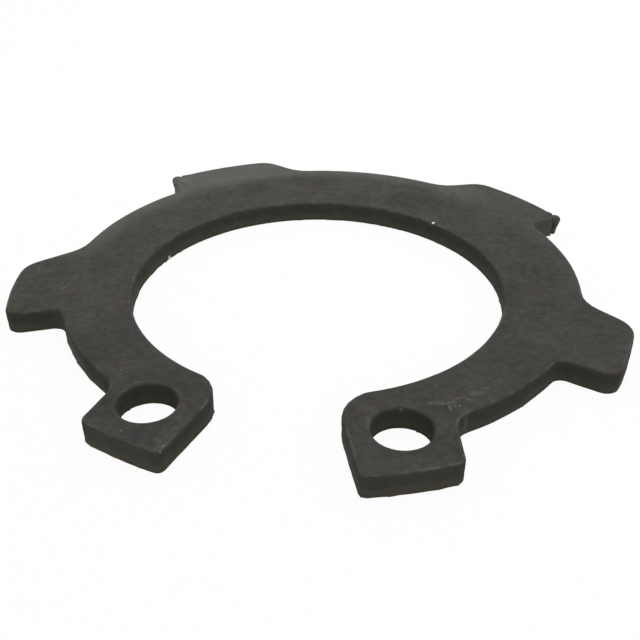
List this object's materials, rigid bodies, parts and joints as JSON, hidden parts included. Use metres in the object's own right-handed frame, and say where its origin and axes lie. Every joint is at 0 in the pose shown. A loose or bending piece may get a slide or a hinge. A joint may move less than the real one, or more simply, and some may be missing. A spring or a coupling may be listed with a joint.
{
  "type": "retaining_ring",
  "caption": "Lugged external retaining ring for a shaft, stamped from spring strip, with ears holed for circlip pliers and a black phosphated finish.",
  "frame": {"origin": "centre of the bore on the plane of the lower face, the face the ring lies on", "axes": "+Z along the bore's axis, up through the strip's thickness to the face with the rolled edge; -Y from the bore's centre through the middle of the gap"},
  "size_m": [0.0338, 0.0316, 0.0012],
  "materials": {
    "spring_steel": "black phosphated and oiled spring steel, satin"
  },
  "bodies": {
    "root": {"retaining_ring": "spring_steel"}
  },
  "joints": []
}
